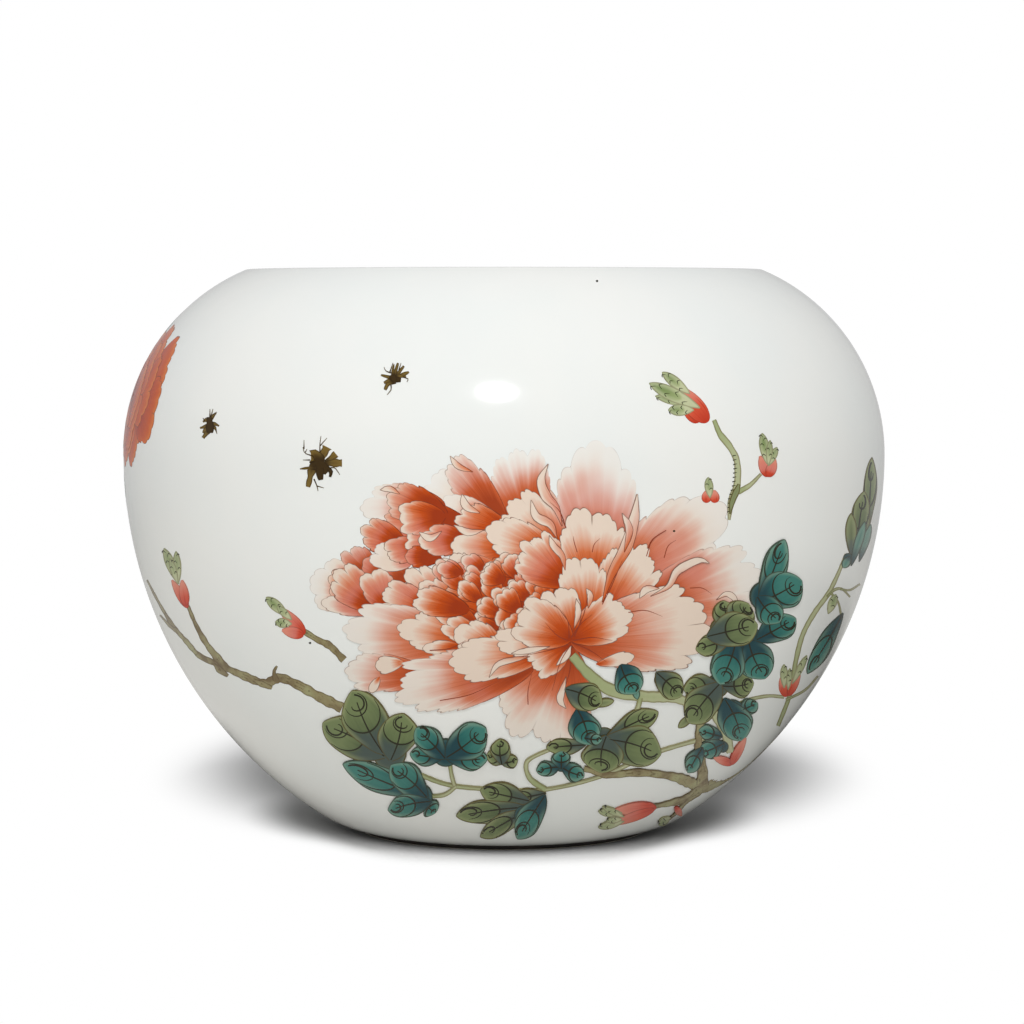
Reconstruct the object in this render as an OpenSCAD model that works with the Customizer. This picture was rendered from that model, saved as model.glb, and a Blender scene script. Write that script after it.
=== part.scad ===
// Porcelain water coupe: a thrown and turned body on a low foot ring, coated with clear glaze outside,
// inside and under the base, and painted over the glaze in raised enamels with a peony spray and bees.
// Millimetres. The origin is on the table at the centre of the foot ring, with +Z up and the front at -Y.
// A place on the wall is [turn, rise]: degrees round the axis from the front, positive to the right,
// and millimetres above the widest part. The painting is laid out as [turn, level], with the level in
// percent of the wall: 0 at the widest part, 100 at the lip and -100 at the foot.

/* [Body] */
// Widest diameter, over the glaze
body_d = 120; // [104:1:150]
// Overall height
height = 88.6; // [82:0.1:105]
// Height of the widest part above the table
belly_h = 59.5; // [54:0.5:66]
// Thickness of the finished wall, glaze included
wall = 3; // [2.4:0.1:4]

/* [Mouth] */
// Diameter of the lip's crest
mouth_d = 80.5; // [64:0.5:90]

/* [Foot] */
// Outside diameter of the foot ring
foot_d = 47; // [40:0.5:56]
// Width of the foot ring
foot_w = 3.2; // [2.4:0.1:4.5]
// How far the foot ring lifts the body off the table
foot_h = 0.6; // [0.4:0.1:1.5]
// Chamfer on both edges of the foot ring
foot_chamfer = 0.3; // [0.1:0.05:0.4]
// Radius where the wall turns under to the foot
heel_r = 14.5; // [8:0.5:18]

/* [Base] */
// Depth of the glazed recess inside the foot ring
base_recess = 2.4; // [1.6:0.1:3.5]
// Thickness of the base between the recess and the floor inside
base_t = 3.4; // [2.6:0.1:5]
// Radius between the floor and the wall inside
well_r = 18; // [10:0.5:22]

/* [Glaze and enamel] */
// Thickness of each coat of glaze
glaze_t = 0.3; // [0.2:0.05:0.5]
// Thickness of the enamels
enamel_t = 0.16; // [0.1:0.02:0.3]
// Film between the enamels and the glaze, which takes up the facets of the curve
enamel_seat = 0.03; // [0.02:0.01:0.06]
// Bare line between neighbouring fields of enamel
field_gap = 0.3; // [0.2:0.05:0.6]

/* [Peony] */
// Width of the open blossom
peony_w = 66; // [50:1:70]
// Height of the open blossom
peony_tall = 42; // [34:1:46]
// Width of the red blossom on the left
red_w = 44; // [30:1:48]
// Height of the red blossom on the left
red_tall = 26; // [20:1:30]

/* [Leaves and buds] */
// Length of a leaf's middle lobe
leaf_l = 8; // [6:0.5:10]
// Width of a leaf's lobes
leaf_w = 5; // [3.6:0.2:6]
// Length of a bud
bud_l = 5; // [4:0.5:7]
// Width of a bud
bud_w = 2.8; // [2:0.2:3.6]
// Width of a branch
branch_w = 1.4; // [0.8:0.1:2]
// Width of a leaf's stalk
stalk_w = 0.7; // [0.5:0.1:1]

/* [Bees] */
// Length of the largest bee
bee_l = 6.4; // [4:0.2:8]

/* [Hidden] */
$fn = 96;

body_r = body_d / 2;
foot_r = foot_d / 2;
ring_in_r = foot_r - foot_w;
lip_r = wall / 2;
floor_z = base_recess + base_t;
spare = 1;

// Radius of the arc that leaves the widest part upright and is tangent to a smaller arc inside it,
// whose centre lies dr inwards and dz above or below.
function belly_arc(dr, dz, small_r) = (dr * dr + dz * dz - small_r * small_r) / (2 * (dr - small_r));

// Shoulder: from the widest part up to the round lip
lip_c = [mouth_d / 2, height - lip_r];
shoulder_r = belly_arc(body_r - lip_c[0], lip_c[1] - belly_h, lip_r);
shoulder_c = [body_r - shoulder_r, belly_h];
lip_a = asin((lip_c[1] - belly_h) / (shoulder_r - lip_r));

// Lower wall: from the widest part down to the heel, which turns under to the foot ring
heel_c = [foot_r - foot_w / 2, foot_h + heel_r];
lower_r = belly_arc(body_r - heel_c[0], belly_h - heel_c[1], heel_r);
lower_c = [body_r - lower_r, belly_h];
heel_a = asin((belly_h - heel_c[1]) / (lower_r - heel_r));

// Well: where the inside of the lower wall turns into the floor
well_up = belly_h - floor_z - well_r;
well_reach = lower_r - wall - well_r;
well_a = asin(well_up / well_reach);
well_c = [lower_c[0] + well_reach * cos(well_a), floor_z + well_r];

// Sections of the wall, in the plane of radius and height

// Turn of one facet along the wall's arcs, in degrees: of the pot, and of the enamels on it
pot_facet_deg = 4;
enamel_facet_deg = 3;

function arc(centre, r, from, to) =
    let (n = ceil(abs(to - from) / pot_facet_deg))
    [for (i = [0 : n]) let (a = from + (to - from) * i / n) centre + r * [cos(a), sin(a)]];
function after_first(line) = [for (i = [1 : len(line) - 1]) line[i]];
function backwards(line) = [for (i = [len(line) - 1 : -1 : 0]) line[i]];

// From the foot ring up to the lip, at a depth under the glazed outside
function outside_line(depth) = concat(
    arc(heel_c, heel_r - depth, -acos((foot_r - heel_c[0]) / (heel_r - depth)), -heel_a),
    after_first(arc(lower_c, lower_r - depth, -heel_a, 0)),
    after_first(arc(shoulder_c, shoulder_r - depth, 0, lip_a))
);

// From the floor up to the lip, at a depth under the glazed inside
function inside_line(depth) = concat(
    arc(well_c, well_r + depth, -90, -well_a),
    after_first(arc(lower_c, lower_r - wall + depth, -well_a, 0)),
    after_first(arc(shoulder_c, shoulder_r - wall + depth, 0, lip_a))
);

// Over the lip, from outside to inside
function lip_line(depth) = arc(lip_c, lip_r - depth, lip_a, lip_a + 180);

// The potted pieces

module porcelain_body() {
    color("seashell")
        rotate_extrude()
            polygon(concat(
                [[0, floor_z - glaze_t], [0, base_recess], [ring_in_r, base_recess]],
                [[ring_in_r, foot_chamfer], [ring_in_r + foot_chamfer, 0]],
                [[foot_r - foot_chamfer, 0], [foot_r, foot_chamfer]],
                outside_line(glaze_t),
                after_first(lip_line(glaze_t)),
                after_first(backwards(inside_line(glaze_t)))
            ));
}

module outer_glaze() {
    color("white")
        rotate_extrude()
            polygon(concat(
                outside_line(0),
                after_first(lip_line(0)),
                backwards(lip_line(glaze_t)),
                after_first(backwards(outside_line(glaze_t)))
            ));
}

module inner_glaze() {
    color("ghostwhite")
        rotate_extrude()
            polygon(concat(
                [[0, floor_z]],
                inside_line(0),
                backwards(inside_line(glaze_t)),
                [[0, floor_z - glaze_t]]
            ));
}

module base_glaze() {
    color("ghostwhite")
        translate([0, 0, base_recess - glaze_t]) cylinder(r = ring_in_r, h = glaze_t);
}

// Places on the outside

// Direction of the wall's face at a rise, from level outwards. It turns steadily from foot to lip.
function wall_a(rise) = rise >= 0
    ? asin(rise / shoulder_r)
    : rise >= -lower_r * sin(heel_a)
        ? asin(rise / lower_r)
        : asin((belly_h + rise - heel_c[1]) / heel_r);

// Radius and height of the wall where its face has a direction, with a lift off the glaze
function face_point(a, lift) =
    let (
        centre = a >= 0 ? shoulder_c : a >= -heel_a ? lower_c : heel_c,
        r = a >= 0 ? shoulder_r : a >= -heel_a ? lower_r : heel_r
    )
    centre + (r + lift) * [cos(a), sin(a)];
function wall_r(rise) = face_point(wall_a(rise), 0)[0];

// The place that lies a step [right, up] along the wall from another
function moved(place, step) = place + [step[0] / wall_r(place[1]) * 180 / PI, step[1]];
// The step along the wall between two places
function step_to(from, to) = [(to[0] - from[0]) * PI / 180 * wall_r(from[1]), to[1] - from[1]];
// A direction on the wall, in degrees from straight up, positive to the right
function heading(a) = [sin(a), cos(a)];
// The place of a turn and a level
function on_wall(spot) =
    [spot[0], spot[1] / 100 * (spot[1] >= 0 ? lip_c[1] - belly_h : belly_h - foot_h)];
function mean(values) = (max(values) + min(values)) / 2;

// One field of enamel: an outline of places, cut from a thin shell that follows the wall
module field(outline) {
    rises = [for (p = outline) p[1]];
    home = mean([for (p = outline) p[0]]);
    low = wall_a(max(min(rises) - spare, foot_h + spare - belly_h));
    high = wall_a(min(max(rises) + spare, lip_c[1] - spare - belly_h));
    n = ceil((high - low) / enamel_facet_deg);
    faces = [for (i = [0 : n]) low + (high - low) * i / n];
    intersection() {
        rotate_extrude()
            polygon(concat(
                [for (a = faces) face_point(a, enamel_seat + enamel_t)],
                [for (a = backwards(faces)) face_point(a, enamel_seat)]
            ));
        translate([0, 0, belly_h])
            rotate([90, 0, home])
                linear_extrude(body_r + spare)
                    polygon([for (p = outline) [wall_r(p[1]) * sin(p[0] - home), p[1]]]);
    }
}

// A field that is pointed at its root and fullest past its middle
module lobe(root, a, l, w) {
    n = 7;
    along = heading(a);
    across = heading(a + 90);
    half = [for (i = [0 : n]) w / 2 * sin(180 * pow(i / n, 1.5))];
    right = [for (i = [1 : n]) along * l * i / n + across * half[i]];
    left = [for (i = [n - 1 : -1 : 0]) along * l * i / n - across * half[i]];
    field([for (step = concat(right, left)) moved(root, step)]);
}

// Three lobes that spread from the end of a leaf's stalk
module leaf(root, a, size) {
    for (side = [-1 : 1])
        lobe(
            moved(root, heading(a + 62 * side) * 0.4),
            a + 62 * side,
            leaf_l * size * (side == 0 ? 1 : 0.8),
            leaf_w * size * (side == 0 ? 1 : 0.85)
        );
}

// A branch as separate strokes of the brush, which thin towards its end
module strokes(route, from_w, to_w) {
    spans = len(route) - 1;
    for (i = [0 : spans - 1]) {
        at = on_wall(route[i]);
        step = step_to(at, on_wall(route[i + 1]));
        along = step / norm(step);
        across = [along[1], -along[0]];
        w0 = from_w + (to_w - from_w) * i / spans;
        w1 = from_w + (to_w - from_w) * (i + 1) / spans;
        start = along * field_gap / 2;
        end = step - along * field_gap / 2;
        field([for (d = [
            start + across * w0 / 2, step / 2 + across * (w0 + w1) / 5, end + across * w1 / 2,
            end - across * w1 / 2, step / 2 - across * (w0 + w1) / 5, start - across * w0 / 2
        ]) moved(at, d)]);
    }
}

// How far a blossom reaches in a direction: it draws in where the stalk comes in under it
function draw_in(a, stalk_a) = 1 - 0.45 * pow(max(0, cos(a - stalk_a)), 6);

// A ring of scalloped petals about a blossom's centre, between two shares of its size
module petals(centre, size, stalk_a, from, to, count, scallops, start) {
    half = size / 2;
    middle_r = (half[0] + half[1]) / 2;
    gap = field_gap / middle_r * 90 / PI;
    root = from + field_gap / (2 * half[1]);
    tip = to - field_gap / (2 * half[1]);
    n = 5 * scallops;
    for (k = [0 : count - 1]) {
        a = start + 360 / count * (k + 0.2 * sin(360 / count * 5 * k));
        b = start + 360 / count * (k + 1 + 0.2 * sin(360 / count * 5 * (k + 1)));
        rim = [for (i = [0 : n]) let (
            v = a + gap / tip + (b - a - 2 * gap / tip) * i / n,
            s = (tip - 0.06 * (1 - abs(sin(180 * scallops * i / n)))) * draw_in(v, stalk_a)
        ) [half[0] * sin(v), half[1] * cos(v)] * s];
        neck = [for (i = [n : -2 : 0]) let (
            v = a + gap / root + (b - a - 2 * gap / root) * i / n
        ) [half[0] * sin(v), half[1] * cos(v)] * root * draw_in(v, stalk_a)];
        field([for (step = concat(rim, neck)) moved(centre, step)]);
    }
}

// The painted pieces

peony_at = [6.5, -29.5];
peony_stalk_a = 135;
red_at = [-90, 34];
red_stalk_a = 225;

module peony_outer_petals() {
    color("mistyrose") petals(on_wall(peony_at), [peony_w, peony_tall], peony_stalk_a, 0.68, 1, 12, 3, 8);
}

module peony_inner_petals() {
    color("lightsalmon") petals(on_wall(peony_at), [peony_w, peony_tall], peony_stalk_a, 0.4, 0.68, 9, 3, 25);
}

module peony_heart() {
    color("orangered") {
        petals(on_wall(peony_at), [peony_w, peony_tall], peony_stalk_a, 0.22, 0.4, 7, 2, 5);
        petals(on_wall(peony_at), [peony_w, peony_tall], peony_stalk_a, 0.05, 0.22, 4, 2, 40);
    }
}

module red_blossom() {
    color("orangered") {
        petals(on_wall(red_at), [red_w, red_tall], red_stalk_a, 0.68, 1, 10, 3, 0);
        petals(on_wall(red_at), [red_w, red_tall], red_stalk_a, 0.36, 0.68, 7, 2, 20);
        petals(on_wall(red_at), [red_w, red_tall], red_stalk_a, 0.06, 0.36, 4, 2, 0);
    }
}

module green_leaves() {
    color("olivedrab") {
        leaf(on_wall([-21, -70.5]), -28, 0.9);
        leaf(on_wall([4.5, -85]), -88, 0.6);
        leaf(on_wall([28.5, -70.5]), -62, 0.8);
        leaf(on_wall([36, -62]), 0, 0.55);
        leaf(on_wall([-0.5, -75.5]), 0, 0.4);
        leaf(on_wall([64, -20.5]), 10, 0.9);
        leaf(on_wall([84, -40.5]), 30, 0.9);
        leaf(on_wall([128, -57.5]), 120, 0.9);
        leaf(on_wall([176, -20.5]), 150, 0.9);
        leaf(on_wall([-104, -13.5]), 190, 1);
        lobe(on_wall([9, -54.5]), 100, leaf_l * 0.6, leaf_w * 0.6);
    }
}

module blue_leaves() {
    color("teal") {
        leaf(on_wall([-9.5, -73]), 30, 0.62);
        leaf(on_wall([-18, -85]), -100, 0.6);
        leaf(on_wall([10.5, -80]), -15, 0.4);
        leaf(on_wall([40.5, -50]), 20, 0.66);
        leaf(on_wall([42, -37.5]), 25, 0.8);
        leaf(on_wall([50, -69.5]), 10, 0.6);
        leaf(on_wall([68, -47.5]), 50, 0.8);
        leaf(on_wall([120, -30.5]), 0, 0.9);
        leaf(on_wall([-126, -3.5]), 200, 0.9);
        leaf(on_wall([-78, -15.5]), 140, 0.8);
        lobe(on_wall([19, -52]), -10, leaf_l * 0.5, leaf_w * 0.6);
    }
}

module branches() {
    color("darkolivegreen") {
        strokes([[-28, -58.5], [-33, -54.5], [-37.5, -52], [-43, -53.5], [-52, -51], [-60, -48.5],
            [-67, -43.5], [-72, -32.5]], branch_w, branch_w / 2);
        strokes([[-52.5, -48.5], [-55, -42.5], [-56, -36.5]], branch_w / 2, branch_w / 2);
        strokes([[-24.5, -47], [-27, -44], [-31, -40]], branch_w / 2, branch_w / 2);
        strokes([[33.8, -7.5], [34, -2.5], [33.8, 5.5], [32.5, 18], [30.5, 27]], branch_w / 2, branch_w / 2);
        strokes([[34.6, -3.5], [36.8, -2]], branch_w / 2, branch_w / 2);
        strokes([[58, -87.5], [48, -83], [37, -80], [26, -78], [16, -79]], branch_w, branch_w / 2);
        strokes([[46, -81], [42.4, -75.5], [38.6, -69]], branch_w / 2, branch_w / 2);
        strokes([[56, -89.5], [47, -87.5], [39.5, -88]], branch_w / 2, branch_w / 2);
        strokes([[60, -86], [76, -76.5], [94, -64.5], [112, -49], [130, -34], [148, -18.5], [168, -5],
            [190, 7], [212, 18], [230, 25.5]], branch_w, branch_w / 2);
    }
}

module leaf_stalks() {
    color("yellowgreen") {
        strokes([[12, -47.5], [16, -53], [23, -56], [31, -58.5]], 2 * stalk_w, 2 * stalk_w);
        strokes([[40.5, -64], [44.5, -68], [47.5, -73]], 2 * stalk_w, 2 * stalk_w);
        strokes([[-20, -73], [-16.5, -77], [-11, -78.5], [-2, -80]], stalk_w, stalk_w);
        strokes([[-10, -77], [-9.6, -74]], stalk_w, stalk_w);
        strokes([[-11.8, -79.5], [-16.6, -84]], stalk_w, stalk_w);
        strokes([[14, -82.5], [22, -82]], stalk_w, stalk_w);
        strokes([[54, -68], [53.4, -47.5], [56.6, -32.5], [62.5, -21.5]], stalk_w, stalk_w);
        strokes([[55, -51], [62, -51], [66.6, -48.5]], stalk_w, stalk_w);
    }
}

// Buds, each a place, a direction and a share of the full size
bud_list = [
    [[30, 31], -35, 1.1], [[37.4, -0.5], 20, 0.7], [[29.6, -7], 0, 0.6], [[-56.4, -34.5], -12, 1],
    [[-32, -38.5], -50, 1], [[38.4, -88.5], -95, 1], [[-72.4, -30.5], 0, 1], [[56, -59.5], 20, 1],
    [[236, 29], 75, 1]
];

module buds() {
    color("indianred")
        for (bud = bud_list)
            lobe(on_wall(bud[0]), bud[1], bud_l * bud[2], bud_w * bud[2]);
}

module bud_sepals() {
    color("darkseagreen")
        for (bud = bud_list, side = [-1, 1])
            lobe(
                moved(on_wall(bud[0]), heading(bud[1] + 90 * side) * 2 * field_gap),
                bud[1] + 38 * side,
                bud_l * bud[2] / 2,
                bud_w * bud[2] / 3
            );
}

// Bees, each a place, a direction and a share of the largest one's size
bee_list = [[[-15.4, 49.5], 35, 0.75], [[-46, 23], 20, 0.55], [[-25.4, 3.5], 65, 1]];

module bees() {
    color("dimgray")
        for (bee = bee_list) {
            at = on_wall(bee[0]);
            a = bee[1];
            l = bee_l * bee[2];
            lobe(at, a + 180, 0.6 * l, 0.36 * l);
            lobe(moved(at, heading(a) * field_gap), a, 0.3 * l, 0.3 * l);
            for (side = [-1, 1])
                lobe(moved(at, heading(a + 90 * side) * field_gap), a + 105 * side, 0.5 * l, 0.26 * l);
        }
}

porcelain_body();
outer_glaze();
inner_glaze();
base_glaze();
peony_outer_petals();
peony_inner_petals();
peony_heart();
red_blossom();
green_leaves();
blue_leaves();
branches();
leaf_stalks();
buds();
bud_sepals();
bees();
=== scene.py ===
import itertools
import math

import bpy
import numpy as np
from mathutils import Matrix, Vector


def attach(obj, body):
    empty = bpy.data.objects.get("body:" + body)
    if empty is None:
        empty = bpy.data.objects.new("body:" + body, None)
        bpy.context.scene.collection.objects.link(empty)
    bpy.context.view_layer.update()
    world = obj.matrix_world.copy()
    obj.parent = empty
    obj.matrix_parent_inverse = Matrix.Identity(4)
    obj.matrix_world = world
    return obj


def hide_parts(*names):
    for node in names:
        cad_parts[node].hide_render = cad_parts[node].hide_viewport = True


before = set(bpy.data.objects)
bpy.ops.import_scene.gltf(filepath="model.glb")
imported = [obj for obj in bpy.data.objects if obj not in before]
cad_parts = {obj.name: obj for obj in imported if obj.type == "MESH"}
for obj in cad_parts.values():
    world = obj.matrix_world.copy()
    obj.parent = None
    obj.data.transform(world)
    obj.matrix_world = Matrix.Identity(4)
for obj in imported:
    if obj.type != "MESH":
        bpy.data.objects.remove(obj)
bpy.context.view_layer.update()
bpy.ops.object.select_all(action="DESELECT")

# Sizes of the pot in millimetres, as in its source
BODY_R, HEIGHT, BELLY_Z, WALL = 60.0, 88.6, 59.5, 3.0
MOUTH_R, LIP_R = 40.25, 1.5
FOOT_R, FOOT_W, FOOT_H, HEEL_R = 23.5, 3.2, 0.6, 14.5
FLOOR_Z, WELL_R, GLAZE = 5.8, 18.0, 0.3
FOOT_MID_R = FOOT_R - FOOT_W / 2
HEEL_Z = FOOT_H + HEEL_R
LIP_Z = HEIGHT - LIP_R

# Enamel in millimetres: the first coat's height over the glaze, each further coat, and the field's depth
FIRST_COAT, NEXT_COAT, ENAMEL_DEPTH = 0.012, 0.004, 0.21

# The photograph's camera, in millimetres, radians and pixels of its 1024 wide frame
CAMERA_AWAY, CAMERA_UP, CAMERA_PITCH = 494.0, 83.8, 0.068
FRAME_PX, FOCAL_PX, AXIS_PX = 1024, 3114.0, 504.0
PX_MM = 0.157
# How often the way to the wall is halved to find the place that a pixel shows
HALVINGS = 36


def belly_arc(inwards, away, small):
    """Radius of the arc that leaves the belly upright and is tangent to a small arc inside it."""
    return (inwards**2 + away**2 - small**2) / (2 * (inwards - small))


SHOULDER_R = belly_arc(BODY_R - MOUTH_R, LIP_Z - BELLY_Z, LIP_R)
LOWER_R = belly_arc(BODY_R - FOOT_MID_R, BELLY_Z - HEEL_Z, HEEL_R)
LIP_A = math.asin((LIP_Z - BELLY_Z) / (SHOULDER_R - LIP_R))
HEEL_A = math.asin((BELLY_Z - HEEL_Z) / (LOWER_R - HEEL_R))
BEND_Z = BELLY_Z - LOWER_R * math.sin(HEEL_A)


def wall(z):
    """Radius of the glazed outside at a height, and the upward share of its face's direction."""
    z = np.asarray(z, float)
    arc_r = np.where(z >= BELLY_Z, SHOULDER_R, np.where(z >= BEND_Z, LOWER_R, HEEL_R))
    centre_r = np.where(z >= BEND_Z, BODY_R - arc_r, FOOT_MID_R)
    up = np.clip((z - np.where(z >= BEND_Z, BELLY_Z, HEEL_Z)) / arc_r, -1, 1)
    return centre_r + arc_r * np.sqrt(1 - up * up), up


def on_wall(turn, z, lift):
    """Points in metres at a turn in radians and a height, lifted off the glaze."""
    r, up = wall(z)
    r = r + lift * np.sqrt(1 - up * up)
    return np.stack([r * np.sin(turn), -r * np.cos(turn), z + lift * up], -1) / 1000


def seen_at(px, py):
    """Turn and height of the place on the wall that shows at a pixel of the photograph."""
    right = (np.asarray(px, float) - AXIS_PX) / FOCAL_PX
    above = (FRAME_PX / 2 - np.asarray(py, float)) / FOCAL_PX
    ahead = math.cos(CAMERA_PITCH) + above * math.sin(CAMERA_PITCH)
    rising = above * math.cos(CAMERA_PITCH) - math.sin(CAMERA_PITCH)
    near = np.zeros_like(right)
    far = CAMERA_AWAY * ahead / (right**2 + ahead**2)
    for _ in range(HALVINGS):
        middle = (near + far) / 2
        reach = np.hypot(right * middle, ahead * middle - CAMERA_AWAY)
        inside = reach < wall(CAMERA_UP + rising * middle)[0]
        near, far = np.where(inside, near, middle), np.where(inside, middle, far)
    return np.arctan2(right * far, CAMERA_AWAY - ahead * far), CAMERA_UP + rising * far


def unrolled(turn, rise):
    """A flat drawing, in pixels of the same size, rolled onto the wall round a place on it."""

    def place(px, py):
        z = BELLY_Z + rise - np.asarray(py, float) * PX_MM
        return math.radians(turn) + np.asarray(px, float) * PX_MM / wall(z)[0], z

    return place


# Camera

bpy.ops.object.camera_add(
    location=(0, -CAMERA_AWAY / 1000, CAMERA_UP / 1000), rotation=(math.pi / 2 - CAMERA_PITCH, 0, 0)
)
camera = bpy.context.object
camera.data.lens = FOCAL_PX / FRAME_PX * camera.data.sensor_width
camera.data.shift_x = 0.5 - AXIS_PX / FRAME_PX
bpy.context.scene.camera = camera
bpy.context.scene.view_settings.view_transform = "Standard"


# Materials: a plain triple of numbers is a colour as it looks on a screen, from 0 to 255

WHITE = (1, 1, 1, 1)
CAMERA_RAY, MIRRORED_RAY = "Is Camera Ray", "Is Glossy Ray"
GLAZE_WHITE, GLAZE_COOL, GLAZE_SPECK = (236, 237, 234), (232, 235, 233), (120, 110, 96)
FINE_BUMP = 0.00002


def linear(red, green, blue):
    """A screen colour made linear."""
    return tuple(
        c / 12.92 if c <= 0.04045 else ((c + 0.055) / 1.055) ** 2.4
        for c in (red / 255, green / 255, blue / 255)
    ) + (1,)


class Value:
    """One value in a material, so that its sums read as sums."""

    def __init__(self, recipe, socket):
        self.recipe, self.socket = recipe, socket

    def sum(self, operation, *terms):
        return self.recipe.node("ShaderNodeMath", {"operation": operation}, *terms)

    def __add__(self, other):
        return self.sum("ADD", self, other)

    def __sub__(self, other):
        return self.sum("SUBTRACT", self, other)

    def __rsub__(self, other):
        return self.sum("SUBTRACT", other, self)

    def __mul__(self, other):
        return self.sum("MULTIPLY", self, other)

    def __abs__(self):
        return self.sum("ABSOLUTE", self)

    def rise(self, low, high):
        """0 below low, 1 above high and a soft slope between them; the other way round if low is higher."""
        if low > high:
            return 1 - self.rise(high, low)
        settings = {"interpolation_type": "SMOOTHSTEP"}
        return self.recipe.node("ShaderNodeMapRange", settings, self, low, high, 0, 1)

    __radd__, __rmul__ = __add__, __mul__


class Recipe:
    """The nodes of one procedural material, or of the room's light."""

    def __init__(self, name, kind="materials"):
        self.owner = getattr(bpy.data, kind).new(name)
        self.owner.use_nodes = True
        self.tree = self.owner.node_tree

    def link(self, value, inlet):
        if isinstance(value, Value):
            self.tree.links.new(value.socket, inlet)
        else:
            inlet.default_value = value

    def node(self, kind, settings, *inlets, outlet=0):
        """A node of a type, with its settings and then the values or links of its sockets in their order."""
        made = self.tree.nodes.new(kind)
        for name, setting in settings.items():
            setattr(made, name, setting)
        for inlet, value in zip(made.inputs, inlets):
            if value is not None:
                self.link(value, inlet)
        return Value(self, made.outputs[outlet])

    def marks(self, *names):
        """Values painted on the piece's own points."""
        return [self.node("ShaderNodeAttribute", {"attribute_name": name}, outlet="Fac") for name in names]

    def places(self):
        return self.node("ShaderNodeTexCoord", {}, outlet="Object")

    def part(self, vector, axis):
        return self.node("ShaderNodeSeparateXYZ", {}, vector, outlet=axis)

    def noise(self, place, scale, detail):
        return self.node("ShaderNodeTexNoise", {}, place, None, scale, detail)

    def clouds(self, scale, detail):
        return self.noise(self.places(), scale, detail)

    def streaks(self, x, y, z, detail):
        return self.noise(self.node("ShaderNodeCombineXYZ", {}, x, y, z), 1.0, detail)

    def blend(self, share, low, high):
        low, high = (linear(*one) if isinstance(one, tuple) else one for one in (low, high))
        unused = [None] * 5
        return self.node("ShaderNodeMix", {"data_type": "RGBA"}, share, *unused, low, high, outlet=2)

    def ramp(self, value, *stops):
        """Colours at places from 0 to 1, each stop a place and its colour."""
        made = self.node("ShaderNodeValToRGB", {}, value)
        band = made.socket.node.color_ramp
        while len(band.elements) < len(stops):
            band.elements.new(1.0)
        for element, (place, *tint) in zip(band.elements, stops):
            element.position, element.color = place, linear(*tint)
        return made

    def bump(self, height, distance):
        return self.node("ShaderNodeBump", {}, 1.0, distance, None, height)

    def mixed(self, share, low, high):
        return self.node("ShaderNodeMixShader", {}, share, low, high)

    def ray(self, name):
        return self.node("ShaderNodeLightPath", {}, outlet=name)

    def glossy(self, base, roughness, normal, **constants):
        """The finished material, with one glossy surface."""
        surface = self.tree.nodes["Principled BSDF"].inputs
        for name, value in (("Base Color", base), ("Roughness", roughness), ("Normal", normal)):
            self.link(value, surface[name])
        for name, value in constants.items():
            surface[name.replace("_", " ")].default_value = value
        return self.owner

    def shown(self, output, shader):
        """The finished material or room, with a surface of its own."""
        self.link(shader, self.tree.nodes[output].inputs["Surface"])
        return self.owner


def glaze_tint(recipe):
    """The faint clouds of colour in the fired glaze."""
    return recipe.blend(recipe.clouds(28.0, 3.0).rise(0.35, 0.65), GLAZE_WHITE, GLAZE_COOL)


def porcelain():
    recipe = Recipe("porcelain_glaze")
    specks = recipe.node("ShaderNodeTexVoronoi", {"feature": "F1"}, recipe.places(), None, 95.0)
    lone = recipe.clouds(31.0, 0.0).rise(0.70, 0.74)
    tint = recipe.blend(specks.rise(0.055, 0.02) * lone * 0.6, glaze_tint(recipe), GLAZE_SPECK)
    skin = recipe.clouds(120.0, 2.0)
    bump = recipe.bump(skin, FINE_BUMP)
    return recipe.glossy(tint, skin * 0.05 + 0.07, bump, Coat_Weight=0.15, Coat_Roughness=0.03)


# Turned pieces

GLAZE_STEPS, MERGE_M, SMOOTH_ANGLE = 256, 0.000002, math.radians(40)


def arc(centre, r, start, end, step):
    count = max(1, math.ceil(abs(end - start) / math.radians(step)))
    turns = [start + (end - start) * i / count for i in range(count + 1)]
    return [(centre[0] + r * math.cos(a), centre[1] + r * math.sin(a)) for a in turns]


def turned(name, profile, steps):
    """A piece thrown on the wheel: a closed profile of radius and height, drawn point by point and spun."""
    bpy.ops.mesh.primitive_plane_add(size=0.001)
    piece = bpy.context.object
    piece.name = name
    bpy.ops.object.mode_set(mode="EDIT")
    bpy.ops.mesh.select_all(action="SELECT")
    bpy.ops.mesh.merge(type="CENTER")
    bpy.ops.transform.translate(value=(profile[0][0] / 1000, 0, profile[0][1] / 1000))
    for a, b in zip(profile, profile[1:]):
        step = ((b[0] - a[0]) / 1000, 0, (b[1] - a[1]) / 1000)
        bpy.ops.mesh.extrude_region_move(TRANSFORM_OT_translate={"value": step})
    bpy.ops.mesh.select_all(action="SELECT")
    bpy.ops.mesh.spin(steps=steps, angle=2 * math.pi, center=(0, 0, 0), axis=(0, 0, 1))
    bpy.ops.mesh.select_all(action="SELECT")
    bpy.ops.mesh.remove_doubles(threshold=MERGE_M)
    bpy.ops.mesh.normals_make_consistent(inside=False)
    bpy.ops.object.mode_set(mode="OBJECT")
    bpy.ops.object.shade_smooth_by_angle(angle=SMOOTH_ANGLE)
    return piece


def hand_over(piece, slot, material, *nodes):
    """A finished piece takes its material and the place of the CAD nodes it stands for. Its slot is not used."""
    piece.data.materials.clear()
    piece.data.materials.append(material)
    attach(piece, "root")
    if nodes:
        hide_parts(*nodes)


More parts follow.
